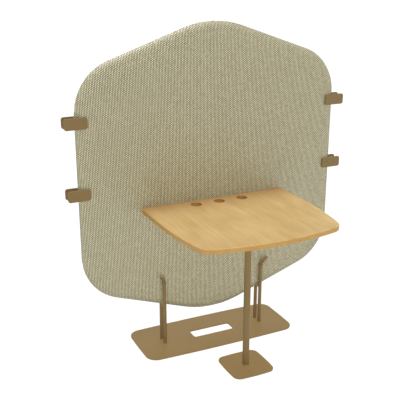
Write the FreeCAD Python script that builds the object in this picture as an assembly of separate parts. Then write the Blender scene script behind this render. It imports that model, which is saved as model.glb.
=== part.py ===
import FreeCAD, Part
import math
import os

# Desk with a privacy screen: a hexagonal upholstered screen stands in two bar forks on a steel floor
# plate, and a wooden desktop is bolted to its front and carried by one leg with its own foot plate.
# Sizes are in millimetres. X runs to the right, Y to the back and Z up from the floor.
# Everything is laid out about the screen's middle plane, Y = 0, and moved at the very end so that the
# origin lies on the floor under the middle of the footprint.

Vector = FreeCAD.Vector
CENTRE = Vector(0, 0, 0)
RIGHT = Vector(1, 0, 0)
BACK = Vector(0, 1, 0)
UP = Vector(0, 0, 1)
SIDES = {"left": -1, "right": 1}
FACINGS = {"front": -1, "rear": 1}
close = 0.01                   # places nearer than this are the same place

# Screen
screen_width = 1339.0
side_corner_low = 356.0        # height of the lower side corners before rounding
side_corner_high = 1373.0      # height of the upper side corners before rounding
point_rise = 234.0             # how far the top and bottom points stand out past the side corners
side_corner_radius = 242.5
point_radius = 471.5
screen_thickness = 35.0
edge_strip = 2.0               # flat strip left along the middle of the rounded edge
cover_thickness = 1.2
edge_foam = 9.0                # cover and foam outside the wooden frame's rim
frame_thickness = 12.0
frame_width = 60.0
panel_clearance = 0.5          # round the acoustic panels inside the frame

# Floor plates
pad_thickness = 2.0
plate_thickness = 7.0
plate_edge_radius = 1.0
base_length = 807.0
base_depth = 309.5
base_side_bulge = 8.0
base_end_bulge = 3.5
base_corner_radius = 57.0
hand_slot_length = 224.0
hand_slot_width = 70.6
hand_slot_radius = 13.0
base_pad_diameter = 40.0
base_pad_inset = 48.0          # from the plate's edges to the pad centres
foot_size = 205.0
foot_bulge = 5.0
foot_corner_radius = 35.0
foot_pad_diameter = 30.0
foot_pad_inset = 35.0

# Forks
fork_spacing = 540.6           # between the left and the right fork
rod_diameter = 18.0
rod_press = 4.0                # how far a rod presses into the screen's padding
rod_gap = 0.3                  # between a rod and the groove that it presses
rod_bend_height = 315.0        # above the floor
rod_bend_radius = 90.0
rod_bend_angle = 40.0
rod_tip_length = 18.0
rod_tip_turn = 45.0            # the tip points sideways and this far round, away from the screen
rod_tip_chamfer = 1.0
saddle_diameter = 14.0
saddle_gap = 0.2               # between the saddle and the screen's lower edge

# Desktop
desk_height = 740.0
desk_width = 756.0
desk_depth = 634.0             # from the rear edge to the middle of the bowed front
desk_thickness = 22.0
desk_gap = 0.5                 # from the screen's face to the rear edge
side_straight = 208.0          # straight length of each side, from the rear
side_curve_radius = 1758.0
front_bow_radius = 1249.0
front_corner_radius = 72.0
rear_corner_radius = 8.0
desk_edge_radius = 2.5
cable_hole_diameter = 54.0
cable_hole_spacing = 122.0
cable_hole_setback = 58.0      # from the rear edge to the hole centres

# Brackets between the screen and the desktop
bracket_spacing = 480.0
bracket_width = 60.0
bracket_thickness = 5.0
bracket_drop = 90.0            # height of the upright leg
bracket_reach = 165.0          # length of the level leg
bracket_bend_radius = 4.0      # inside the bend
bracket_corner_radius = 10.0
bracket_bolt_spacing = 46.0
bracket_bolt_inset = 22.0      # from the foot of the upright leg to the lower bolt
bracket_screw_spacing = 42.0
bracket_screw_inset = 25.0     # from the tip of the level leg to the first screw
rail_margin = 12.0             # wood in the cross rail above and below the bracket's upright leg

# Leg
leg_setback = 353.0            # from the desktop's rear edge to the leg's middle
post_diameter = 32.0
post_wall = 2.0
plug_length = 30.0
flange_size = 120.0
flange_thickness = 5.0
flange_corner_radius = 16.0
flange_screw_spacing = 88.0

# Linking clips on the screen's side edges
clip_length = 106.0
clip_height = 52.0
clip_thickness = 8.0
clip_corner_radius = 10.5
clip_edge_radius = 0.8
clip_face_gap = 0.8            # between a clip plate and the screen's face
clip_web_gap = 0.3             # between the clip's web and the screen's edge
clip_web_thickness = 4.0
clip_plate_shift = 1.5         # from the web's middle in to the plates' middle
clip_levels = {"lower": 842.0, "upper": 1169.5}

# Fasteners
thread_clearance = 0.1         # radial, round every screw, plug, insert and spacer
countersink_ratio = 2.0        # head diameter over shank diameter
rod_screw_diameter = 10.0
rod_screw_length = 36.0
leg_screw_diameter = 12.0
leg_screw_length = 36.0
bolt_diameter = 6.0
bolt_head_diameter = 11.0
bolt_head_height = 3.5
insert_diameter = 10.0
spacer_diameter = 13.0
wood_screw_diameter = 5.0
wood_screw_length = 16.0       # inside the desktop
wood_head_diameter = 10.0
wood_head_height = 3.0
socket_depth = 2.0
socket_ratio = 0.45            # drive socket's width over the head's diameter

# Places that follow from the sizes above
half_screen = screen_thickness / 2
screen_slope = point_rise / (screen_width / 2)
beyond = screen_width + side_corner_high + point_rise
plate_top = pad_thickness + plate_thickness
rod_x = fork_spacing / 2
rod_y = half_screen - rod_press + rod_gap + rod_diameter / 2
rod_places = [Vector(i * rod_x, j * rod_y, pad_thickness) for i in (-1, 1) for j in (-1, 1)]
desk_rear = -half_screen - desk_gap
desk_front = desk_rear - desk_depth
desk_underside = desk_height - desk_thickness
bracket_x = bracket_spacing / 2
bracket_foot = desk_underside - bracket_drop
bracket_tip = -half_screen - bracket_reach
bracket_seat = desk_underside - bracket_thickness
bolt_heights = [bracket_foot + bracket_bolt_inset + i * bracket_bolt_spacing for i in range(2)]
bolt_places = [(i * bracket_x, z) for i in (-1, 1) for z in bolt_heights]
bracket_screw_ys = [bracket_tip + bracket_screw_inset + i * bracket_screw_spacing for i in range(3)]
bracket_screw_places = [(i * bracket_x, y) for i in (-1, 1) for y in bracket_screw_ys]
rail_top = desk_underside + rail_margin
rail_bottom = bracket_foot - rail_margin
leg_y = desk_rear - leg_setback
leg_foot = Vector(0, leg_y, plate_top)
flange_seat = desk_underside - flange_thickness
flange_reach = flange_screw_spacing / 2
flange_screw_places = [(i * flange_reach, leg_y + j * flange_reach) for i in (-1, 1) for j in (-1, 1)]
clip_web_x = screen_width / 2 + clip_web_gap
clip_x = clip_web_x + clip_web_thickness / 2
clip_plate_x = clip_x - clip_plate_shift
clip_inside = half_screen + clip_face_gap
base_back = base_depth / 2 + base_side_bulge
footprint_shift = BACK * (-(desk_front + base_back) / 2)


# Shared shapes

def cylinder(diameter, length, start, direction):
    return Part.makeCylinder(diameter / 2, length, start, direction)


def clear_hole(diameter, length, start, direction):
    """Room for a round piece with the usual clearance."""
    return cylinder(diameter + 2 * thread_clearance, length, start, direction)


def arc_about(centre, start, end):
    """Arc under half a turn, from start to end about a centre."""
    towards = (start - centre) + (end - centre)
    middle = centre + towards.normalize() * start.distanceToPoint(centre)
    return Part.Arc(start, middle, end).toShape()


def polygon_face(corners):
    return Part.Face(Part.makePolygon(corners + corners[:1]))


def rounded_face(corners, radii):
    """Flat face through the corners, each rounded by its own radius."""
    arcs = []
    for index, corner in enumerate(corners):
        to_last = (corners[index - 1] - corner).normalize()
        to_next = (corners[(index + 1) % len(corners)] - corner).normalize()
        half_angle = to_last.getAngle(to_next) / 2
        radius = radii[index]
        setback = radius / math.tan(half_angle)
        inward = (to_last + to_next).normalize() * (radius / math.sin(half_angle) - radius)
        arcs.append((corner + to_last * setback, corner + inward, corner + to_next * setback))
    edges = []
    for index, (start, middle, end) in enumerate(arcs):
        edges.append(Part.Arc(start, middle, end).toShape())
        edges.append(Part.makeLine(end, arcs[(index + 1) % len(arcs)][0]))
    return Part.Face(Part.Wire(edges))


def rectangle(width, height, across, along, centre):
    """Four corners of a rectangle about a centre, spanned by two unit vectors."""
    signs = [(-1, -1), (1, -1), (1, 1), (-1, 1)]
    return [centre + across * (i * width / 2) + along * (j * height / 2) for i, j in signs]


def edges_along(shape, direction, **place):
    """Straight edges along a direction, whose middles have the coordinates that are given."""
    found = []
    for edge in shape.Edges:
        span = edge.Vertexes[-1].Point - edge.Vertexes[0].Point
        straight = span.Length > close and span.cross(direction).Length < close
        middle = edge.CenterOfMass
        if straight and all(abs(getattr(middle, axis) - level) < close for axis, level in place.items()):
            found.append(edge)
    return found


def edges_at(shape, axis, *levels):
    """Edges that lie flat in one of the planes axis = level."""
    found = []
    for edge in shape.Edges:
        low = getattr(edge.BoundBox, axis + "Min")
        high = getattr(edge.BoundBox, axis + "Max")
        if any(abs(low - level) < close and abs(high - level) < close for level in levels):
            found.append(edge)
    return found


def hex_socket(head_diameter, start, direction):
    """Six-sided drive socket cut into a screw head, from its outer face inwards."""
    spoke = RIGHT * (head_diameter * socket_ratio / 2)
    turns = [FreeCAD.Rotation(direction, 360 / 6 * step) for step in range(6)]
    return polygon_face([start + turn.multVec(spoke) for turn in turns]).extrude(direction * socket_depth)


def headed_screw(shank, length, head, head_height, seat, direction):
    """Screw with a domed head on a seat and its shank along a direction."""
    top = seat - direction * head_height
    dome = cylinder(head, head_height, top, direction)
    rim = [edge for edge in dome.Edges if edge.Closed and edge.CenterOfMass.distanceToPoint(top) < close]
    dome = dome.makeFillet(head_height / 2, rim)
    screw = dome.fuse(cylinder(shank, length, seat, direction)).removeSplitter()
    return screw.cut(hex_socket(head, top, direction))


def sunk_shape(diameter, length, foot, clearance):
    """Countersunk screw pointing up from a floor plate's underside, grown by a clearance."""
    shank = cylinder(diameter + 2 * clearance, length + clearance, foot, UP)
    head_radius = diameter * countersink_ratio / 2
    head_height = head_radius - diameter / 2
    head = Part.makeCone(head_radius + clearance, diameter / 2 + clearance, head_height, foot, UP)
    return shank.fuse(head).removeSplitter()


def sunk_screw(diameter, length, foot):
    socket = hex_socket(diameter * countersink_ratio, foot, UP)
    return sunk_shape(diameter, length, foot, 0).cut(socket)


def bent_bar(across, along, diameter):
    """Round bar from the base plate up, its tip bent outwards, away from the screen."""
    foot = Vector(across * rod_x, along * rod_y, plate_top)
    turn = math.radians(rod_tip_turn)
    bend = math.radians(rod_bend_angle)
    outward = Vector(across * math.cos(turn), along * math.sin(turn), 0)
    bend_start = Vector(foot.x, foot.y, rod_bend_height)
    bend_centre = bend_start + outward * rod_bend_radius
    bend_end = bend_centre + (UP * math.sin(bend) - outward * math.cos(bend)) * rod_bend_radius
    tip = bend_end + (outward * math.sin(bend) + UP * math.cos(bend)) * rod_tip_length
    path = [Part.makeLine(foot, bend_start)]
    path += [arc_about(bend_centre, bend_start, bend_end)]
    path += [Part.makeLine(bend_end, tip)]
    section = Part.Wire(Part.makeCircle(diameter / 2, foot, UP))
    return Part.Wire(path).makePipeShell([section], True, False)


# Screen: wooden frame, acoustic panels, foam and sewn fabric cover

def screen_slab(inset, half_thickness):
    """Rounded hexagon about the middle plane, its outline drawn in by an inset all round."""
    half_width = screen_width / 2 - inset
    drop = inset * math.hypot(1, screen_slope)
    top = side_corner_high + point_rise - drop
    bottom = side_corner_low - point_rise + drop
    rise = screen_slope * half_width
    plan = [(0, top), (half_width, top - rise), (half_width, bottom + rise)]
    plan += [(0, bottom), (-half_width, bottom + rise), (-half_width, top - rise)]
    corners = [Vector(x, -half_thickness, z) for x, z in plan]
    radii = [(side_corner_radius if x else point_radius) - inset for x, z in plan]
    return rounded_face(corners, radii).extrude(BACK * (2 * half_thickness))


def soft_slab(inset):
    """Screen slab with its rim rounded to a narrow strip and grooves where the fork's rods press into
    it, drawn in by an inset on every side."""
    half_thickness = half_screen - inset
    slab = screen_slab(inset, half_thickness)
    rim = edges_at(slab, "Y", -half_thickness, half_thickness)
    slab = slab.makeFillet(half_thickness - edge_strip / 2, rim)
    groove_width = rod_diameter + 2 * (rod_gap + inset)
    return slab.cut([bent_bar(i, j, groove_width) for i in (-1, 1) for j in (-1, 1)])


def half_space(facing):
    """All that lies in front of the middle plane (facing -1) or behind it (facing 1)."""
    return Part.makeBox(2 * beyond, beyond, 2 * beyond, Vector(-beyond, min(facing, 0) * beyond, -beyond))


def level_space(bottom):
    """All that lies within one long reach above a level."""
    return Part.makeBox(2 * beyond, 2 * beyond, beyond, Vector(-beyond, -beyond, bottom))


def bolt_holes(diameter):
    """Room for what the bracket bolts pass through, from the screen's face to the frame's back."""
    depth = half_screen + frame_thickness / 2
    return [clear_hole(diameter, depth, Vector(x, -half_screen, z), BACK) for x, z in bolt_places]


def front_holed(sheet, facing):
    """The front sheet has holes for the bracket spacers, and the rear one has none."""
    return sheet.cut(bolt_holes(spacer_diameter)) if facing < 0 else sheet


def cover(facing):
    """Half of the fabric cover, sewn to the other half round the middle of the rim."""
    shell = soft_slab(0).cut(soft_slab(cover_thickness))
    return front_holed(shell.common(half_space(facing)), facing)


def foam(facing):
    """Foam sheet under one half of the cover, lapped round the frame's rim to the middle plane."""
    sheet = soft_slab(cover_thickness).cut(screen_slab(edge_foam, frame_thickness / 2))
    return front_holed(sheet.common(half_space(facing)), facing)


def screen_frame():
    """Plywood ring and cross rail, cut from one sheet, bored for the bracket inserts."""
    window = screen_slab(edge_foam + frame_width, frame_thickness / 2)
    windows = [window.common(level_space(rail_top)), window.common(level_space(rail_bottom - beyond))]
    return screen_slab(edge_foam, frame_thickness / 2).cut(windows + bolt_holes(insert_diameter))


def acoustic_panel(bottom):
    """Felt board that fills the frame's window above a level."""
    board = screen_slab(edge_foam + frame_width + panel_clearance, frame_thickness / 2)
    return board.common(level_space(bottom))


# Floor plates and pads

def floor_plate(length, depth, side_bulge, end_bulge, corner_radius):
    """Steel plate with gently bowed sides and round corners, lying on its pads about X = Y = 0."""
    corners = rectangle(length, depth, RIGHT, BACK, CENTRE)
    side_reach = BACK * (depth / 2 + side_bulge)
    end_reach = RIGHT * (length / 2 + end_bulge)
    middles = [-side_reach, end_reach, side_reach, -end_reach]
    sides = [Part.Arc(corners[i], middles[i], corners[(i + 1) % 4]).toShape() for i in range(4)]
    plate = Part.Face(Part.Wire(sides)).extrude(UP * plate_thickness)
    plate = plate.makeFillet(corner_radius, edges_along(plate, UP))
    plate = plate.makeFillet(plate_edge_radius, edges_at(plate, "Z", 0, plate_thickness))
    return plate.translated(UP * pad_thickness)


def base_plate():
    """Long floor plate with a hand slot to carry it by and countersunk holes for the fork rods."""
    plate = floor_plate(base_length, base_depth, base_side_bulge, base_end_bulge, base_corner_radius)
    corners = rectangle(hand_slot_length, hand_slot_width, RIGHT, BACK, CENTRE)
    slot = rounded_face(corners, [hand_slot_radius] * 4).extrude(UP * plate_top)
    holes = [sunk_shape(rod_screw_diameter, rod_screw_length, foot, thread_clearance)
             for foot in rod_places]
    return plate.cut([slot] + holes)


def base_pads():
    """Rubber pads, three along each long side of the base plate."""
    x = base_length / 2 - base_pad_inset
    y = base_depth / 2 - base_pad_inset
    places = [Vector(i * x, j * y, 0) for i in (-1, 0, 1) for j in (-1, 1)]
    return [cylinder(base_pad_diameter, pad_thickness, place, UP) for place in places]


def foot_plate():
    """Square plate under the leg, bored for the leg's screw."""
    plate = floor_plate(foot_size, foot_size, foot_bulge, foot_bulge, foot_corner_radius)
    screw_foot = Vector(0, leg_y, pad_thickness)
    hole = sunk_shape(leg_screw_diameter, leg_screw_length, screw_foot, thread_clearance)
    return plate.translated(BACK * leg_y).cut(hole)


def foot_pads():
    spread = foot_size - 2 * foot_pad_inset
    corners = rectangle(spread, spread, RIGHT, BACK, BACK * leg_y)
    return [cylinder(foot_pad_diameter, pad_thickness, corner, UP) for corner in corners]


# Forks that hold the screen upright

def fork_rod(across, along):
    """Round bar beside the screen, its tip chamfered, tapped at the foot for its screw."""
    rod = bent_bar(across, along, rod_diameter)
    rim = max((edge for edge in rod.Edges if edge.Closed), key=lambda edge: edge.CenterOfMass.z)
    rod = rod.makeChamfer(rod_tip_chamfer, [rim])
    screw_foot = Vector(across * rod_x, along * rod_y, pad_thickness)
    return rod.cut(sunk_shape(rod_screw_diameter, rod_screw_length, screw_foot, thread_clearance))


def saddle(across):
    """Short bar welded between a fork's two rods; the screen's sloping lower edge sits on it."""
    edge_height = side_corner_low - point_rise + screen_slope * rod_x
    drop = (saddle_diameter / 2 + saddle_gap) * math.hypot(1, screen_slope)
    start = Vector(across * rod_x, -rod_y, edge_height - drop)
    rods = [cylinder(rod_diameter, rod_bend_height, Vector(start.x, j * rod_y, 0), UP) for j in (-1, 1)]
    return cylinder(saddle_diameter, 2 * rod_y, start, BACK).cut(rods)


# Desktop, its brackets and fasteners

def desk_outline():
    """Straight back, sides that run straight and then draw in, and a bowed front."""
    half = desk_width / 2
    rear = Vector(half, desk_rear, 0)
    bend = Vector(half, desk_rear - side_straight, 0)
    side_centre = bend - RIGHT * side_curve_radius
    bow_centre = BACK * (desk_front + front_bow_radius)
    side_circle = Part.Circle(side_centre, UP, side_curve_radius)
    bow_circle = Part.Circle(bow_centre, UP, front_bow_radius)
    crossings = [Vector(point.X, point.Y, point.Z) for point in side_circle.intersect(bow_circle)]
    corner = min(crossings, key=lambda point: point.y)
    far_corner = Vector(-corner.x, corner.y, 0)
    right = [Part.makeLine(rear, bend), arc_about(side_centre, bend, corner)]
    left = [edge.mirror(CENTRE, RIGHT) for edge in right]
    front = arc_about(bow_centre, corner, far_corner)
    back = Part.makeLine(Vector(-half, desk_rear, 0), rear)
    return Part.Wire(Part.__sortEdges__(right + left + [front, back]))


def desktop():
    """Solid wood top with three cable holes and blind holes for the screws from below."""
    top = Part.Face(desk_outline()).extrude(UP * desk_thickness)
    front_corner = min(edge.CenterOfMass.y for edge in edges_along(top, UP))
    top = top.makeFillet(rear_corner_radius, edges_along(top, UP, y=desk_rear))
    top = top.makeFillet(front_corner_radius, edges_along(top, UP, y=front_corner))
    top = top.makeFillet(desk_edge_radius, edges_at(top, "Z", 0, desk_thickness))
    top = top.translated(UP * desk_underside)
    hole_centres = [Vector(i * cable_hole_spacing, desk_rear - cable_hole_setback, desk_underside)
                    for i in (-1, 0, 1)]
    holes = [cylinder(cable_hole_diameter, desk_thickness, centre, UP) for centre in hole_centres]
    holes += [clear_hole(wood_screw_diameter, wood_screw_length + thread_clearance,
                         Vector(x, y, desk_underside), UP)
              for x, y in bracket_screw_places + flange_screw_places]
    return top.cut(holes)


def bracket(across):
    """Bent steel strap: one leg flat on the screen's face, the other flat under the desktop."""
    face = -half_screen
    inner_face = face - bracket_thickness
    profile = [(face, bracket_foot), (face, desk_underside), (bracket_tip, desk_underside)]
    profile += [(bracket_tip, bracket_seat), (inner_face, bracket_seat), (inner_face, bracket_foot)]
    x = across * bracket_x
    corners = [Vector(x - bracket_width / 2, y, z) for y, z in profile]
    strap = polygon_face(corners).extrude(RIGHT * bracket_width)
    outside = edges_along(strap, RIGHT, y=face, z=desk_underside)
    strap = strap.makeFillet(bracket_bend_radius + bracket_thickness, outside)
    strap = strap.makeFillet(bracket_bend_radius, edges_along(strap, RIGHT, y=inner_face, z=bracket_seat))
    strap = strap.makeFillet(bracket_corner_radius, edges_along(strap, BACK, z=bracket_foot))
    strap = strap.makeFillet(bracket_corner_radius, edges_along(strap, UP, y=bracket_tip))
    holes = [clear_hole(bolt_diameter, bracket_thickness, Vector(x, inner_face, z), BACK)
             for z in bolt_heights]
    holes += [clear_hole(wood_screw_diameter, bracket_thickness, Vector(x, y, bracket_seat), UP)
              for y in bracket_screw_ys]
    return strap.cut(holes)


def bracket_bolts():
    """Domed bolts through the brackets and spacers into the inserts."""
    length = bracket_thickness + half_screen + frame_thickness / 2
    seats = [Vector(x, -half_screen - bracket_thickness, z) for x, z in bolt_places]
    return [headed_screw(bolt_diameter, length, bolt_head_diameter, bolt_head_height, seat, BACK)
            for seat in seats]


def bolt_sleeves(diameter, front, length):
    """One bored sleeve round each bracket bolt."""
    starts = [Vector(x, front, z) for x, z in bolt_places]
    return [cylinder(diameter, length, start, BACK).cut(clear_hole(bolt_diameter, length, start, BACK))
            for start in starts]


def desk_screws(places, seat_height):
    """Domed screws driven up into the desktop from a seat below it."""
    length = desk_underside - seat_height + wood_screw_length
    return [headed_screw(wood_screw_diameter, length, wood_head_diameter, wood_head_height,
                         Vector(x, y, seat_height), UP)
            for x, y in places]


# Leg

def leg_post():
    """Steel tube between the foot plate and the flange."""
    length = flange_seat - plate_top
    bore = cylinder(post_diameter - 2 * post_wall, length, leg_foot, UP)
    return cylinder(post_diameter, length, leg_foot, UP).cut(bore)


def leg_plug():
    """Tapped plug welded into the foot of the post."""
    plug = cylinder(post_diameter - 2 * post_wall - 2 * thread_clearance, plug_length, leg_foot, UP)
    return plug.cut(clear_hole(leg_screw_diameter, plug_length, leg_foot, UP))


def leg_flange():
    """Square plate on top of the post, screwed under the desktop."""
    corners = rectangle(flange_size, flange_size, RIGHT, BACK, Vector(0, leg_y, flange_seat))
    flange = rounded_face(corners, [flange_corner_radius] * 4).extrude(UP * flange_thickness)
    holes = [clear_hole(wood_screw_diameter, flange_thickness, Vector(x, y, flange_seat), UP)
             for x, y in flange_screw_places]
    return flange.cut(holes)


# Linking clips

def clip_plate(across, height, facing):
    """Rounded steel plate, half on the screen's face and half standing out for the next screen."""
    start = clip_inside if facing > 0 else -clip_inside - clip_thickness
    corners = rectangle(clip_length, clip_height, RIGHT, UP, Vector(across * clip_plate_x, start, height))
    plate = rounded_face(corners, [clip_corner_radius] * 4).extrude(BACK * clip_thickness)
    return plate.makeFillet(clip_edge_radius, edges_at(plate, "Y", start, start + clip_thickness))


def clip_web(across, height):
    """Strip welded across between the clip's two plates, just outside the screen's edge."""
    near = across * clip_x - clip_web_thickness / 2
    corner = Vector(near, -clip_inside, height - clip_height / 2)
    return Part.makeBox(clip_web_thickness, 2 * clip_inside, clip_height, corner)


def all_parts():
    """Every node's name, with its solid or its group of like solids."""
    frame_front = -frame_thickness / 2
    spacer_length = half_screen - frame_thickness / 2
    parts = {
        "screen_frame": screen_frame(),
        "upper_acoustic_panel": acoustic_panel(rail_top + panel_clearance),
        "lower_acoustic_panel": acoustic_panel(rail_bottom - panel_clearance - beyond),
        "base_plate": base_plate(),
        "base_pads": base_pads(),
        "rod_screws": [sunk_screw(rod_screw_diameter, rod_screw_length, foot) for foot in rod_places],
        "desktop": desktop(),
        "bracket_bolts": bracket_bolts(),
        "bracket_inserts": bolt_sleeves(insert_diameter, frame_front, frame_thickness),
        "bracket_spacers": bolt_sleeves(spacer_diameter, -half_screen, spacer_length),
        "bracket_screws": desk_screws(bracket_screw_places, bracket_seat),
        "leg_flange": leg_flange(),
        "flange_screws": desk_screws(flange_screw_places, flange_seat),
        "leg_post": leg_post(),
        "leg_plug": leg_plug(),
        "leg_screw": sunk_screw(leg_screw_diameter, leg_screw_length, Vector(0, leg_y, pad_thickness)),
        "foot_plate": foot_plate(),
        "foot_pads": foot_pads(),
    }
    for facing, along in FACINGS.items():
        parts[facing + "_cover"] = cover(along)
        parts[facing + "_foam"] = foam(along)
    for side, across in SIDES.items():
        parts[side + "_saddle"] = saddle(across)
        parts[side + "_bracket"] = bracket(across)
        for facing, along in FACINGS.items():
            parts[side + "_" + facing + "_rod"] = fork_rod(across, along)
        for level, height in clip_levels.items():
            clip = side + "_" + level + "_clip_"
            parts[clip + "web"] = clip_web(across, height)
            for facing, along in FACINGS.items():
                parts[clip + facing] = clip_plate(across, height, along)
    return parts


os.makedirs("parts", exist_ok=True)
for name, made in all_parts().items():
    group = made if isinstance(made, list) else [made]
    solids = [solid.translated(footprint_shift) for shape in group for solid in shape.Solids]
    node = solids[0] if len(solids) == 1 else Part.makeCompound(solids)
    node.exportStep("parts/" + name + ".step")
    print(name, len(solids), round(node.Volume / 1000, 2), "cm3", "valid" if node.isValid() else "INVALID")
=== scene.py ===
import math

import bmesh
import bpy
from mathutils import Matrix, Vector


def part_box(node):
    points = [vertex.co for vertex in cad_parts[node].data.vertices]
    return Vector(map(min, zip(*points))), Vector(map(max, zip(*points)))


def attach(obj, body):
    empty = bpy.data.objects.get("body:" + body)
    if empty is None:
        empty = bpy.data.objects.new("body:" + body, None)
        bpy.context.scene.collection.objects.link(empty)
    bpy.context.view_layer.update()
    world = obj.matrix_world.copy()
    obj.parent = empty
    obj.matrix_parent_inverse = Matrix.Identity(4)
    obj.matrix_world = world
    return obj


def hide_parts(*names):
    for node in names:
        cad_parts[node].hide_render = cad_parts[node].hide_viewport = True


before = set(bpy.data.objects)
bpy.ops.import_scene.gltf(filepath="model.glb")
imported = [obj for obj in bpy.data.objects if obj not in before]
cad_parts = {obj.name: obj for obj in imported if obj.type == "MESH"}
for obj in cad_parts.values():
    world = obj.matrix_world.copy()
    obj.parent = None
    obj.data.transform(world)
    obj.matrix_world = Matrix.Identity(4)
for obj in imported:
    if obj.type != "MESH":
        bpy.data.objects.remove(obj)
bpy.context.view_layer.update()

# Desk with a privacy screen: an upholstered hexagonal screen stands in two bar forks on a steel floor
# plate, and a wooden desktop is bolted to its front and stands on one leg with its own foot plate.
# Sizes are in metres. X runs to the right, Y to the back and Z up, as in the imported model.


# Floor plates
# Two sheets of 7 mm steel with bowed sides, laser cut, deburred and powder coated. The long one carries
# the screen's forks and has a slot to lift it by. The square one stands under the desk's leg.

def linear(colour):
    """Linear colour from an sRGB hex value."""
    shares = [int(colour[i:i + 2], 16) / 255 for i in (0, 2, 4)]
    return [s / 12.92 if s <= 0.04045 else ((s + 0.055) / 1.055) ** 2.4 for s in shares] + [1.0]


def add(tree, kind, inputs=None, **settings):
    """Adds a node with its settings, and sets or links its inputs."""
    node = tree.nodes.new("ShaderNode" + kind)
    for name, value in settings.items():
        setattr(node, name, value)
    for name, value in (inputs or {}).items():
        if isinstance(value, bpy.types.NodeSocket):
            tree.links.new(value, node.inputs[name])
        else:
            node.inputs[name].default_value = value
    return node


def new_material(name, roughness, metallic=0.0):
    """Node material with a principled shader, and that shader's tree."""
    material = bpy.data.materials.new(name)
    material.use_nodes = True
    tree = material.node_tree
    shader = tree.nodes["Principled BSDF"]
    shader.inputs["Roughness"].default_value = roughness
    shader.inputs["Metallic"].default_value = metallic
    return material, tree, shader


def dress(material, *names):
    """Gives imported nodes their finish."""
    for name in names:
        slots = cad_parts[name].data.materials
        slots.clear()
        slots.append(material)


def powder_coated_steel():
    """Bronze polyester powder, sprayed and baked: an even satin film with a fine orange-peel surface.
    The peel is drawn twice as coarse as it is, so that it shows."""
    peel_size = 0.0024
    cloud_size = 0.3
    peel_depth = 0.00006
    material, tree, shader = new_material("powder_coated_steel", roughness=0.55)
    place = add(tree, "TexCoord").outputs["Object"]
    cloud = add(tree, "TexNoise", {"Vector": place, "Scale": 1 / cloud_size, "Detail": 3.0})
    peel = add(tree, "TexNoise", {"Vector": place, "Scale": 1 / peel_size, "Detail": 1.0})
    tone = add(tree, "MixRGB", {"Fac": cloud.outputs["Fac"],
                                "Color1": linear("7a643b"), "Color2": linear("856e45")})
    bump = add(tree, "Bump", {"Height": peel.outputs["Fac"], "Strength": 0.5, "Distance": peel_depth})
    tree.links.new(tone.outputs["Color"], shader.inputs["Base Color"])
    tree.links.new(bump.outputs["Normal"], shader.inputs["Normal"])
    shader.inputs["Specular IOR Level"].default_value = 0.35
    return material


steel = powder_coated_steel()
dress(steel, "base_plate", "foot_plate")


# Floor pads
# Thin black rubber discs under the plates' corners, moulded and stuck on. They keep the steel off the
# floor and stop it from sliding.

def moulded_rubber():
    """Black rubber from a mould: dull, with a faint bloom."""
    bloom_size = 0.004
    material, tree, shader = new_material("moulded_rubber", roughness=0.85)
    place = add(tree, "TexCoord").outputs["Object"]
    bloom = add(tree, "TexNoise", {"Vector": place, "Scale": 1 / bloom_size, "Detail": 4.0})
    tone = add(tree, "MixRGB", {"Fac": bloom.outputs["Fac"],
                                "Color1": linear("242423"), "Color2": linear("33322f")})
    tree.links.new(tone.outputs["Color"], shader.inputs["Base Color"])
    return material


dress(moulded_rubber(), "base_pads", "foot_pads")


# Fork rods, saddles and their screws
# Four 18 mm round bars stand on the base plate, two at each side of the screen's lower edge, with their
# tips bent outwards so that the screen drops in between. A short bar welded across each pair carries
# the screen. Sunk zinc-plated screws hold the rods from below.

def zinc_plated_steel():
    """Turned steel with bright zinc: a cool grey metal with fine turning marks and dull patches."""
    mark_size = 0.0006
    mark_depth = 0.00003
    patch_size = 0.006
    material, tree, shader = new_material("zinc_plated_steel", roughness=0.38, metallic=1.0)
    place = add(tree, "TexCoord").outputs["Object"]
    patch = add(tree, "TexNoise", {"Vector": place, "Scale": 1 / patch_size, "Detail": 3.0})
    marks = add(tree, "TexNoise", {"Vector": place, "Scale": 1 / mark_size})
    tone = add(tree, "MixRGB", {"Fac": patch.outputs["Fac"],
                                "Color1": linear("a9aaa8"), "Color2": linear("c4c5c0")})
    bump = add(tree, "Bump", {"Height": marks.outputs["Fac"], "Strength": 0.3, "Distance": mark_depth})
    tree.links.new(tone.outputs["Color"], shader.inputs["Base Color"])
    tree.links.new(bump.outputs["Normal"], shader.inputs["Normal"])
    return material


def edges_of(parts):
    """The edges among the parts that an operator gives back."""
    return [part for part in parts if isinstance(part, bmesh.types.BMEdge)]


def place_piece(name, shape, materials, body, slot, *nodes):
    """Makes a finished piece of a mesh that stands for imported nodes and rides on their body."""
    crease = math.radians(40)
    mesh = bpy.data.meshes.new(name)
    shape.to_mesh(mesh)
    shape.free()
    mesh.shade_smooth()
    mesh.set_sharp_from_angle(angle=crease)
    piece = bpy.data.objects.new(name, mesh)
    bpy.context.scene.collection.objects.link(piece)
    for material in materials:
        mesh.materials.append(material)
    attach(piece, body)
    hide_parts(*nodes)
    return piece


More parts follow.
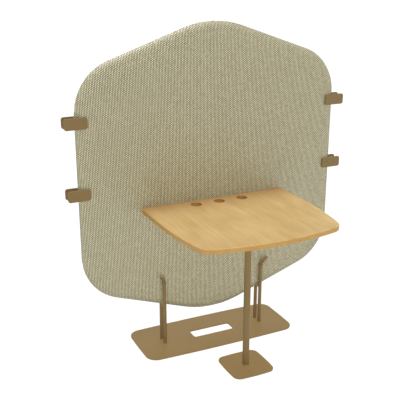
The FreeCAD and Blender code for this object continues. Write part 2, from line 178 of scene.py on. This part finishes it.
def fork_rod(node, across, along):
    """Round bar from the base plate up, with its tip bent away from the screen."""
    sides = 40
    bend_radius = 0.090
    bend_angle = math.radians(40)
    bend_steps = 10
    tip_turn = math.radians(45)
    tip_length = 0.018
    tip_edge = 0.006
    tip_edge_steps = 5
    low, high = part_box(node)
    foot = Vector((low.x + rod_radius if across > 0 else high.x - rod_radius,
                   low.y + rod_radius if along > 0 else high.y - rod_radius, low.z))
    outward = Vector((across * math.cos(tip_turn), along * math.sin(tip_turn), 0))
    up = Vector((0, 0, 1))
    axis = up.cross(outward)
    bend_start = Vector((foot.x, foot.y, rod_bend_height))
    tip_way = Matrix.Rotation(bend_angle, 3, axis) @ up
    shape = bmesh.new()
    bmesh.ops.create_circle(shape, segments=sides, radius=rod_radius, matrix=Matrix.Translation(foot))
    grown = bmesh.ops.spin(shape, geom=shape.edges[:], axis=up, dvec=bend_start - foot, steps=1)
    grown = bmesh.ops.spin(shape, geom=grown["geom_last"], cent=bend_start + outward * bend_radius,
                           axis=axis, angle=bend_angle, steps=bend_steps)
    grown = bmesh.ops.spin(shape, geom=grown["geom_last"], axis=up, dvec=tip_way * tip_length, steps=1)
    rim = edges_of(grown["geom_last"])
    bmesh.ops.holes_fill(shape, edges=[edge for edge in shape.edges if edge.is_boundary])
    bmesh.ops.bevel(shape, geom=rim, offset=tip_edge, affect="EDGES", segments=tip_edge_steps, profile=0.5,
                    material=-1)
    bmesh.ops.recalc_face_normals(shape, faces=shape.faces[:])
    return place_piece(node + "_bar", shape, [steel], "desk_and_screen", "powder_coated_steel", node)


rod_radius = 0.009
rod_bend_height = 0.315
zinc = zinc_plated_steel()
dress(zinc, "rod_screws")
for side, across in (("left", -1), ("right", 1)):
    dress(steel, side + "_saddle")
    for facing, along in (("front", -1), ("rear", 1)):
        fork_rod(f"{side}_{facing}_rod", across, along)


# Screen frame and acoustic panels
# A ring of 12 mm birch plywood with a cross rail, cut from one sheet, with boards of pressed grey felt
# in its two windows. The padding hides them all.

def birch_plywood():
    """Cut plywood: pale sanded faces, with thin light and dark plies at the edges."""
    ply = 0.0014
    wave_rate = 20
    scale = math.pi / (wave_rate * ply)
    material, tree, shader = new_material("birch_plywood", roughness=0.6)
    place = add(tree, "TexCoord").outputs["Object"]
    plies = add(tree, "TexWave", {"Vector": place, "Scale": scale, "Distortion": 0.2},
                bands_direction="Y")
    tone = add(tree, "MixRGB", {"Fac": plies.outputs["Fac"],
                                "Color1": linear("c2a075"), "Color2": linear("dcc194")})
    tree.links.new(tone.outputs["Color"], shader.inputs["Base Color"])
    return material


def pressed_felt():
    """Board of pressed grey polyester fibre: mottled and dull."""
    fibre = 0.003
    fibre_height = 0.0005
    material, tree, shader = new_material("pressed_felt", roughness=0.95)
    place = add(tree, "TexCoord").outputs["Object"]
    fibres = add(tree, "TexNoise", {"Vector": place, "Scale": 1 / fibre, "Detail": 6.0})
    tone = add(tree, "MixRGB", {"Fac": fibres.outputs["Fac"],
                                "Color1": linear("6f6d69"), "Color2": linear("a3a19c")})
    bump = add(tree, "Bump", {"Height": fibres.outputs["Fac"], "Strength": 0.5, "Distance": fibre_height})
    tree.links.new(tone.outputs["Color"], shader.inputs["Base Color"])
    tree.links.new(bump.outputs["Normal"], shader.inputs["Normal"])
    return material


dress(birch_plywood(), "screen_frame")
dress(pressed_felt(), "upper_acoustic_panel", "lower_acoustic_panel")


# Screen cover and padding
# Foam sheets on both sides of the frame, under two halves of a thick ribbed cloth that are sewn together
# round the middle of the edge and drawn tight. The cloth swells a little between its seam and the face.

def ribbed_cloth():
    """Thick beige and grey-green weave: upright ribs of short slanted stitches, each rib set half a
    stitch above its neighbour, with dark gaps between them. The yarn is smooth enough to shine a
    little where the edge turns up to the light. That shine is a part coat over a dull base, because a
    whole one would turn the cloth white where it is seen edge on."""
    rib = 0.0072
    stitch = 0.0094
    stitch_slant = -0.25
    stitch_height = 0.0009
    stitch_crown = 0.85
    gap_top = 0.32
    yarn_base = 0.56
    fibre = 0.0011
    fibre_share = 0.25
    material, tree, shader = new_material("ribbed_cloth", roughness=0.9)
    place = add(tree, "SeparateXYZ", {"Vector": add(tree, "UVMap", uv_map="cloth").outputs["UV"]})
    ribs = add(tree, "Math", {0: place.outputs["X"], 1: 1 / rib}, operation="MULTIPLY")
    rib_number = add(tree, "Math", {0: ribs.outputs[0]}, operation="FLOOR")
    in_rib = add(tree, "Math", {0: ribs.outputs[0]}, operation="FRACT")
    slant = add(tree, "Math", {0: in_rib.outputs[0], 1: stitch_slant}, operation="MULTIPLY")
    shift = add(tree, "Math", {0: rib_number.outputs[0], 1: 0.5, 2: slant.outputs[0]},
                operation="MULTIPLY_ADD")
    stitches = add(tree, "Math", {0: place.outputs["Y"], 1: 1 / stitch, 2: shift.outputs[0]},
                   operation="MULTIPLY_ADD")
    stitch_number = add(tree, "Math", {0: stitches.outputs[0]}, operation="FLOOR")
    across = add(tree, "Math", {0: ribs.outputs[0], 1: 0.5}, operation="PINGPONG")
    along = add(tree, "Math", {0: stitches.outputs[0], 1: 0.5}, operation="PINGPONG")
    across_angle = add(tree, "Math", {0: across.outputs[0], 1: math.pi}, operation="MULTIPLY")
    across_crown = add(tree, "Math", {0: across_angle.outputs[0]}, operation="SINE")
    along_angle = add(tree, "Math", {0: along.outputs[0], 1: math.pi}, operation="MULTIPLY")
    along_crown = add(tree, "Math", {0: along_angle.outputs[0]}, operation="SINE")
    along_share = add(tree, "Math", {0: along_crown.outputs[0], 1: stitch_crown, 2: 1 - stitch_crown},
                      operation="MULTIPLY_ADD")
    crown = add(tree, "Math", {0: across_crown.outputs[0], 1: along_share.outputs[0]}, operation="MULTIPLY")
    cell = add(tree, "CombineXYZ", {"X": rib_number.outputs[0], "Y": stitch_number.outputs[0]})
    chance = add(tree, "TexWhiteNoise", {"Vector": cell.outputs["Vector"]})
    fibres = add(tree, "TexNoise", {"Vector": add(tree, "TexCoord").outputs["Object"],
                                    "Scale": 1 / fibre, "Detail": 3.0})
    yarn = add(tree, "MixRGB", {"Fac": chance.outputs["Value"],
                                "Color1": linear("cec69a"), "Color2": linear("e6deb8")})
    raised = add(tree, "MapRange", {"Value": crown.outputs[0], "From Min": gap_top, "From Max": yarn_base},
                 interpolation_type="SMOOTHSTEP")
    tone = add(tree, "MixRGB", {"Fac": raised.outputs["Result"], "Color1": linear("35331f"),
                                "Color2": yarn.outputs["Color"]})
    fuzz = add(tree, "Math", {0: fibres.outputs["Fac"], 1: fibre_share, 2: crown.outputs[0]},
               operation="MULTIPLY_ADD")
    bump = add(tree, "Bump", {"Height": fuzz.outputs[0], "Strength": 0.6, "Distance": stitch_height})
    tree.links.new(tone.outputs["Color"], shader.inputs["Base Color"])
    tree.links.new(bump.outputs["Normal"], shader.inputs["Normal"])
    tree.links.new(bump.outputs["Normal"], shader.inputs["Coat Normal"])
    shader.inputs["Specular IOR Level"].default_value = 0.0
    shader.inputs["Coat Weight"].default_value = 0.3
    shader.inputs["Coat IOR"].default_value = 2.9
    shader.inputs["Coat Roughness"].default_value = 0.42
    shader.inputs["Sheen Weight"].default_value = 0.06
    return material


def rounded_loop(shape, corners, radii, axis, steps):
    """Closed loop of edges through the corners, each rounded by an arc that turns about the axis."""
    ends = []
    for index, corner in enumerate(corners):
        to_last = (corners[index - 1] - corner).normalized()
        to_next = (corners[(index + 1) % len(corners)] - corner).normalized()
        half_angle = to_last.angle(to_next) / 2
        centre = corner + (to_last + to_next).normalized() * (radii[index] / math.sin(half_angle))
        start = shape.verts.new(corner + to_last * (radii[index] / math.tan(half_angle)))
        turned = bmesh.ops.spin(shape, geom=[start], cent=centre, axis=axis,
                                angle=math.pi - 2 * half_angle, steps=steps)
        last = [part for part in turned["geom_last"] if isinstance(part, bmesh.types.BMVert)][0]
        ends.append((start, last))
    for (start, last), (following, after) in zip(ends, ends[1:] + ends[:1]):
        shape.edges.new((last, following))


def screen_ring(shape, inset, y):
    """Rounded hexagon of the screen's outline, drawn in by an inset, at one depth."""
    half_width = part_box("front_cover")[1].x
    corner_low = 0.356
    corner_high = 1.373
    point_rise = 0.234
    corner_radius = 0.2425
    point_radius = 0.4715
    corner_steps = 24
    slope = point_rise / half_width
    drop = inset * math.hypot(1, slope)
    top = corner_high + point_rise - drop
    bottom = corner_low - point_rise + drop
    x = half_width - inset
    plan = [(0, top), (-x, top - slope * x), (-x, bottom + slope * x)]
    plan += [(0, bottom), (x, bottom + slope * x), (x, top - slope * x)]
    corners = [Vector((i, y, k)) for i, k in plan]
    radii = [(corner_radius if i else point_radius) - inset for i, k in plan]
    known = set(shape.edges)
    rounded_loop(shape, corners, radii, Vector((0, -1, 0)), corner_steps)
    return [edge for edge in shape.edges if edge not in known]


def screen_core():
    """Closed slab with a rim drawn in like half a pointed ellipse, thinner than the screen by the swell.
    It is wider by what the even squares take off the point of its rim."""
    steps = 12
    bluntness = 1.55
    rings = []
    shape = bmesh.new()
    for step in range(-steps, steps + 1):
        angle = math.pi / 2 * abs(step) / steps
        inset = rim_depth * (1 - math.cos(angle) ** (2 / bluntness)) - rim_loss
        rise = (half_thickness - swell) * math.sin(angle) ** (2 / bluntness)
        rings.append(screen_ring(shape, inset, seam_y + math.copysign(rise, step)))
    for ring, following in zip(rings, rings[1:]):
        bmesh.ops.bridge_loops(shape, edges=ring + following)
    for ring in (rings[0], rings[-1]):
        bmesh.ops.contextual_create(shape, geom=ring)
    bmesh.ops.recalc_face_normals(shape, faces=shape.faces[:])
    mesh = bpy.data.meshes.new("screen_core")
    shape.to_mesh(mesh)
    shape.free()
    core = bpy.data.objects.new("screen_core", mesh)
    bpy.context.scene.collection.objects.link(core)
    return core


def evaluated_mesh(piece):
    """The piece's mesh with its modifiers applied."""
    graph = bpy.context.evaluated_depsgraph_get()
    return bpy.data.meshes.new_from_object(piece.evaluated_get(graph))


def press_rods(pad):
    """Dents the padding where the fork's rods press into it, up to where their tips bend away."""
    dent_reach = 0.014
    dent_end = 0.034
    clearance = 0.0003
    for side, across in (("left", -1), ("right", 1)):
        for facing, along in (("front", -1), ("rear", 1)):
            low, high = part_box(f"{side}_{facing}_rod")
            rod_x = low.x + rod_radius if across > 0 else high.x - rod_radius
            limit = along * ((low.y if along > 0 else high.y) - seam_y) - clearance
            for vertex in pad.data.vertices:
                excess = along * (vertex.co.y - seam_y) - limit
                height = max(vertex.co.z - rod_bend_height, 0.0)
                if excess > 0 and height < dent_end:
                    share = math.exp(-((vertex.co.x - rod_x) / dent_reach) ** 2)
                    vertex.co.y -= along * excess * share * (1 - (height / dent_end) ** 2)


def swollen_screen():
    """Slab of even squares whose cloth swells under the foam's push, and whose seam stays where it is."""
    square = 0.0065
    push = 4.0
    frames = 12
    core = screen_core()
    remesh = core.modifiers.new("squares", "REMESH")
    remesh.mode = "VOXEL"
    remesh.voxel_size = square
    pad = bpy.data.objects.new("screen_pad", evaluated_mesh(core))
    bpy.context.scene.collection.objects.link(pad)
    bpy.data.objects.remove(core)
    rest = [vertex.co.copy() for vertex in pad.data.vertices]
    seam = pad.vertex_groups.new(name="seam")
    held = [i for i, place in enumerate(rest) if abs(place.y - seam_y) < square]
    seam.add(held, 1.0, "REPLACE")
    cloth = pad.modifiers.new("cloth", "CLOTH")
    cloth.settings.quality = 3
    cloth.settings.use_pressure = True
    cloth.settings.uniform_pressure_force = push
    cloth.settings.effector_weights.gravity = 0.0
    cloth.settings.vertex_group_mass = "seam"
    for step in range(1, frames + 1):
        bpy.context.scene.frame_set(step)
    moved = evaluated_mesh(pad)
    pad.modifiers.clear()
    for vertex, place, after in zip(pad.data.vertices, rest, moved.vertices):
        rise = abs(after.co.y - seam_y) - abs(place.y - seam_y)
        rise = swell * math.tanh(max(rise, 0.0) / swell)
        vertex.co.y = place.y + math.copysign(rise, place.y - seam_y)
    bpy.data.meshes.remove(moved)
    press_rods(pad)
    return pad


def cloth_map(mesh):
    """Lays the cloth flat: on the face it lies as it is, and round the rim it is longer than the rim is
    deep, by a length that grows with the square of the fall from the face."""
    rim_slack = 0.009
    least_tilt = 1e-6
    layer = mesh.uv_layers.new(name="cloth")
    for loop in mesh.loops:
        vertex = mesh.vertices[loop.vertex_index]
        fall = max(1 - abs(vertex.co.y - seam_y) / half_thickness, 0.0)
        sideways = Vector((vertex.normal.x, vertex.normal.z))
        place = Vector((vertex.co.x, vertex.co.z))
        if sideways.length > least_tilt:
            place += sideways.normalized() * rim_slack * fall ** 2
        layer.data[loop.index].uv = place


def cover_half(pad, y_way):
    """One half of the padded screen, cut off a hair short of the seam and closed flat at the back."""
    shape = bmesh.new()
    shape.from_mesh(pad.data)
    cut = bmesh.ops.bisect_plane(shape, geom=shape.verts[:] + shape.edges[:] + shape.faces[:],
                                 plane_co=(0, seam_y + y_way * seam_gap / 2, 0), plane_no=(0, y_way, 0),
                                 clear_inner=True)
    bmesh.ops.contextual_create(shape, geom=edges_of(cut["geom_cut"]))
    bmesh.ops.recalc_face_normals(shape, faces=shape.faces[:])
    return shape


screen_low, screen_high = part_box("front_cover")
seam_y = screen_high.y
half_thickness = screen_high.y - screen_low.y
rim_depth = 0.033
rim_loss = 0.0017
swell = 0.0015
seam_gap = 0.0008
cloth = ribbed_cloth()
pad = swollen_screen()
for facing, y_way in (("front", -1), ("rear", 1)):
    half = place_piece(facing + "_padding", cover_half(pad, y_way), [cloth], "desk_and_screen",
                       "woven_fabric", facing + "_cover", facing + "_foam")
    cloth_map(half.data)
bpy.data.objects.remove(pad)


# Brackets and their fasteners
# Bent straps of 5 mm steel, powder coated, bolted through the padding into threaded inserts in the frame
# and screwed under the desktop. Bolts, inserts, spacers and screws are zinc plated.

dress(steel, "left_bracket", "right_bracket")
dress(zinc, "bracket_bolts", "bracket_inserts", "bracket_spacers", "bracket_screws")


# Desktop
# Solid light oak, glued up from staves that run from front to back, planed, sanded and oiled. The edges
# are rounded over by a router, and three holes for cables are drilled near the rear edge.

def oiled_oak():
    """Oiled oak: straight grain in soft honey tones that differ a little from stave to stave, fine dark
    pores along the grain and a low satin sheen. The sawn edges soak up more oil, so they are deeper and
    more golden. The walls of the holes are painted a darker brown, as painted shade inside the holes.
    Towards the screen, which keeps the light off it, the top is painted darker, as painted shade."""
    stave = 0.045
    mottle_width = 0.05
    mottle_length = 0.16
    grain_width = 0.004
    grain_length = 0.22
    pore_width = 0.0014
    pore_length = 0.05
    pore_depth = 0.0002
    stave_share = 0.25
    mottle_share = 0.8
    lightest = 0.65
    darkest = 1.45
    painted_shade_reach = 0.24
    painted_shade_fall = 1.7
    edge_start = 0.85
    edge_full = 0.5
    hole_reach = 0.0275
    hole_spacing = 0.122
    hole_setback = 0.058
    rear_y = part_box("desktop")[1].y
    hole_y = rear_y - hole_setback
    material, tree, shader = new_material("oiled_oak", roughness=0.45)
    coordinates = add(tree, "TexCoord")
    place = coordinates.outputs["Object"]
    parts = add(tree, "SeparateXYZ", {"Vector": place})
    staves = add(tree, "TexVoronoi", {"W": parts.outputs["X"], "Scale": 1 / stave, "Randomness": 0.7},
                 voronoi_dimensions="1D")
    chance = add(tree, "SeparateXYZ", {"Vector": staves.outputs["Color"]})
    slide = add(tree, "CombineXYZ", {"Y": chance.outputs["X"]})
    moved = add(tree, "VectorMath", {0: place, 1: slide.outputs["Vector"]}, operation="ADD")
    mottle_place = add(tree, "Mapping", {"Vector": place,
                                         "Scale": (1 / mottle_width, 1 / mottle_length, 1 / mottle_width)})
    mottle = add(tree, "TexNoise", {"Vector": mottle_place.outputs["Vector"], "Scale": 1.0, "Detail": 3.0})
    grain_place = add(tree, "Mapping", {"Vector": moved.outputs["Vector"],
                                        "Scale": (1 / grain_width, 1 / grain_length, 1 / grain_width)})
    grain = add(tree, "TexNoise", {"Vector": grain_place.outputs["Vector"], "Scale": 1.0, "Detail": 5.0,
                                   "Distortion": 0.6})
    pore_place = add(tree, "Mapping", {"Vector": moved.outputs["Vector"],
                                       "Scale": (1 / pore_width, 1 / pore_length, 1 / pore_width)})
    pores = add(tree, "TexNoise", {"Vector": pore_place.outputs["Vector"], "Scale": 1.0, "Detail": 2.0})
    sum_of_two = add(tree, "Math", {0: chance.outputs["Y"], 1: stave_share, 2: grain.outputs["Fac"]},
                     operation="MULTIPLY_ADD")
    sum_of_three = add(tree, "Math", {0: mottle.outputs["Fac"], 1: mottle_share, 2: sum_of_two.outputs[0]},
                       operation="MULTIPLY_ADD")
    share = add(tree, "MapRange", {"Value": sum_of_three.outputs[0], "From Min": lightest,
                                   "From Max": darkest})
    plain = add(tree, "MixRGB", {"Fac": share.outputs["Result"], "Color1": linear("d1b27b"),
                                 "Color2": linear("ae8d56")})
    # Painted shade: over the rear strip by the screen the top is mixed towards a darker brown (967042),
    # standing in for the shade that the screen casts.
    rear = add(tree, "MapRange", {"Value": parts.outputs["Y"], "From Min": rear_y - painted_shade_reach,
                                  "From Max": rear_y})
    shaded = add(tree, "Math", {0: rear.outputs["Result"], 1: painted_shade_fall}, operation="POWER")
    face = add(tree, "MixRGB", {"Fac": shaded.outputs[0], "Color1": plain.outputs["Color"],
                                "Color2": linear("967042")})
    sawn = add(tree, "MixRGB", {"Fac": share.outputs["Result"], "Color1": linear("c69d52"),
                                "Color2": linear("ae823b")})
    way = add(tree, "SeparateXYZ", {"Vector": coordinates.outputs["Normal"]})
    level = add(tree, "Math", {0: way.outputs["Z"]}, operation="ABSOLUTE")
    edge = add(tree, "MapRange", {"Value": level.outputs[0], "From Min": edge_start, "From Max": edge_full},
               interpolation_type="SMOOTHSTEP")
    # Painted shade: inside the three holes the sawn colour is swapped for a darker brown (956b2b), standing
    # in for the shade within the holes.
    from_hole_x = add(tree, "Math", {0: parts.outputs["X"], 1: hole_spacing / 2, 2: -hole_spacing / 2},
                      operation="WRAP")
    from_hole_y = add(tree, "Math", {0: parts.outputs["Y"], 1: hole_y}, operation="SUBTRACT")
    from_hole = add(tree, "CombineXYZ", {"X": from_hole_x.outputs[0], "Y": from_hole_y.outputs[0]})
    distance = add(tree, "VectorMath", {0: from_hole.outputs["Vector"]}, operation="LENGTH")
    in_hole = add(tree, "Math", {0: distance.outputs["Value"], 1: hole_reach}, operation="LESS_THAN")
    from_middle = add(tree, "Math", {0: parts.outputs["X"]}, operation="ABSOLUTE")
    in_row = add(tree, "Math", {0: from_middle.outputs[0], 1: 1.5 * hole_spacing}, operation="LESS_THAN")
    hole_shade_mask = add(tree, "Math", {0: in_hole.outputs[0], 1: in_row.outputs[0]}, operation="MULTIPLY")
    sawn_or_hole_shade = add(tree, "MixRGB", {"Fac": hole_shade_mask.outputs[0], "Color1": sawn.outputs["Color"],
                                "Color2": linear("956b2b")})
    tone = add(tree, "MixRGB", {"Fac": edge.outputs["Result"], "Color1": face.outputs["Color"],
                                "Color2": sawn_or_hole_shade.outputs["Color"]})
    bump = add(tree, "Bump", {"Height": pores.outputs["Fac"], "Strength": 0.25, "Distance": pore_depth})
    tree.links.new(tone.outputs["Color"], shader.inputs["Base Color"])
    tree.links.new(bump.outputs["Normal"], shader.inputs["Normal"])
    return material


dress(oiled_oak(), "desktop")


# Leg
# One 32 mm steel tube from the foot plate up to a square flange under the desktop, both powder coated.
# A tapped plug in the tube's foot takes a sunk screw from below.

dress(steel, "leg_post", "leg_flange")
dress(zinc, "leg_plug", "leg_screw", "flange_screws")


# Linking clips
# Two rounded steel plates with a strip welded across between them, powder coated. Each clip is pushed
# over the screen's edge, and its outer half takes the edge of the next screen.

for side in ("left", "right"):
    for level in ("upper", "lower"):
        dress(steel, *[f"{side}_{level}_clip_{piece}" for piece in ("front", "rear", "web")])


# Floor and light
# A plain white floor that keeps the soft shadows of an even white surround, and two far lights that cast
# none, so that the light is as flat as in the photograph: a broad one from above, and a weak one from the
# front that makes the upper rim of the screen shine.

def seen_directly(tree):
    """1 where the camera sees a surface itself or in a reflection or through glass, and else 0."""
    path = add(tree, "LightPath")
    seen = add(tree, "Math", {0: path.outputs["Is Camera Ray"], 1: path.outputs["Is Glossy Ray"]},
               operation="MAXIMUM")
    return add(tree, "Math", {0: seen.outputs[0], 1: path.outputs["Is Transmission Ray"]},
               operation="MAXIMUM").outputs[0]


def studio_floor():
    """White floor that reads as the white background where nothing shades it."""
    size = 30.0
    lift = 0.06
    shape = bmesh.new()
    bmesh.ops.create_grid(shape, x_segments=1, y_segments=1, size=size)
    mesh = bpy.data.meshes.new("floor")
    shape.to_mesh(mesh)
    shape.free()
    floor = bpy.data.objects.new("floor", mesh)
    bpy.context.scene.collection.objects.link(floor)
    material, tree, shader = new_material("white_floor", roughness=1.0)
    shader.inputs["Base Color"].default_value = linear("f0f0f0")
    shader.inputs["Specular IOR Level"].default_value = 0.0
    shader.inputs["Emission Color"].default_value = linear("ffffff")
    glow = add(tree, "Math", {0: seen_directly(tree), 1: lift}, operation="MULTIPLY")
    tree.links.new(glow.outputs[0], shader.inputs["Emission Strength"])
    mesh.materials.append(material)


def studio_world():
    """Even white light from all round, seen as plain white."""
    strength = 0.36
    world = bpy.data.worlds.new("studio")
    world.use_nodes = True
    tree = world.node_tree
    tree.nodes.clear()
    level = add(tree, "MapRange", {"Value": seen_directly(tree), "To Min": strength, "To Max": 1.0})
    light = add(tree, "Background", {"Color": linear("ffffff"), "Strength": level.outputs["Result"]})
    add(tree, "OutputWorld", {"Surface": light.outputs["Background"]})
    bpy.context.scene.world = world


def far_light(name, energy, width, way):
    """Light without shadows that comes from far away; way points from the object to it."""
    data = bpy.data.lights.new(name, "SUN")
    data.energy = energy
    data.angle = math.radians(width)
    data.use_shadow = False
    lamp = bpy.data.objects.new(name, data)
    bpy.context.scene.collection.objects.link(lamp)
    lamp.rotation_mode = "QUATERNION"
    lamp.rotation_quaternion = Vector(way).to_track_quat("Z", "Y")


studio_floor()
studio_world()
far_light("top_light", energy=2.4, width=25, way=(-0.1, -0.28, 0.95))
far_light("front_light", energy=0.55, width=12, way=(0.05, -0.7, 0.7))


# Camera
# Stands where the photograph was taken from: to the left, above the desk and looking down.

focal_length = 66.46
film_width = 36.0
tilt_down = math.radians(18.65)
turn_right = math.radians(25.22)
camera_data = bpy.data.cameras.new("camera")
camera_data.lens = focal_length
camera_data.sensor_width = film_width
camera = bpy.data.objects.new("camera", camera_data)
bpy.context.scene.collection.objects.link(camera)
camera.location = (-1.51675, -2.834825, 1.87967)
camera.rotation_euler = (math.pi / 2 - tilt_down, 0, -turn_right)
bpy.context.scene.camera = camera
bpy.context.scene.view_settings.view_transform = "Standard"
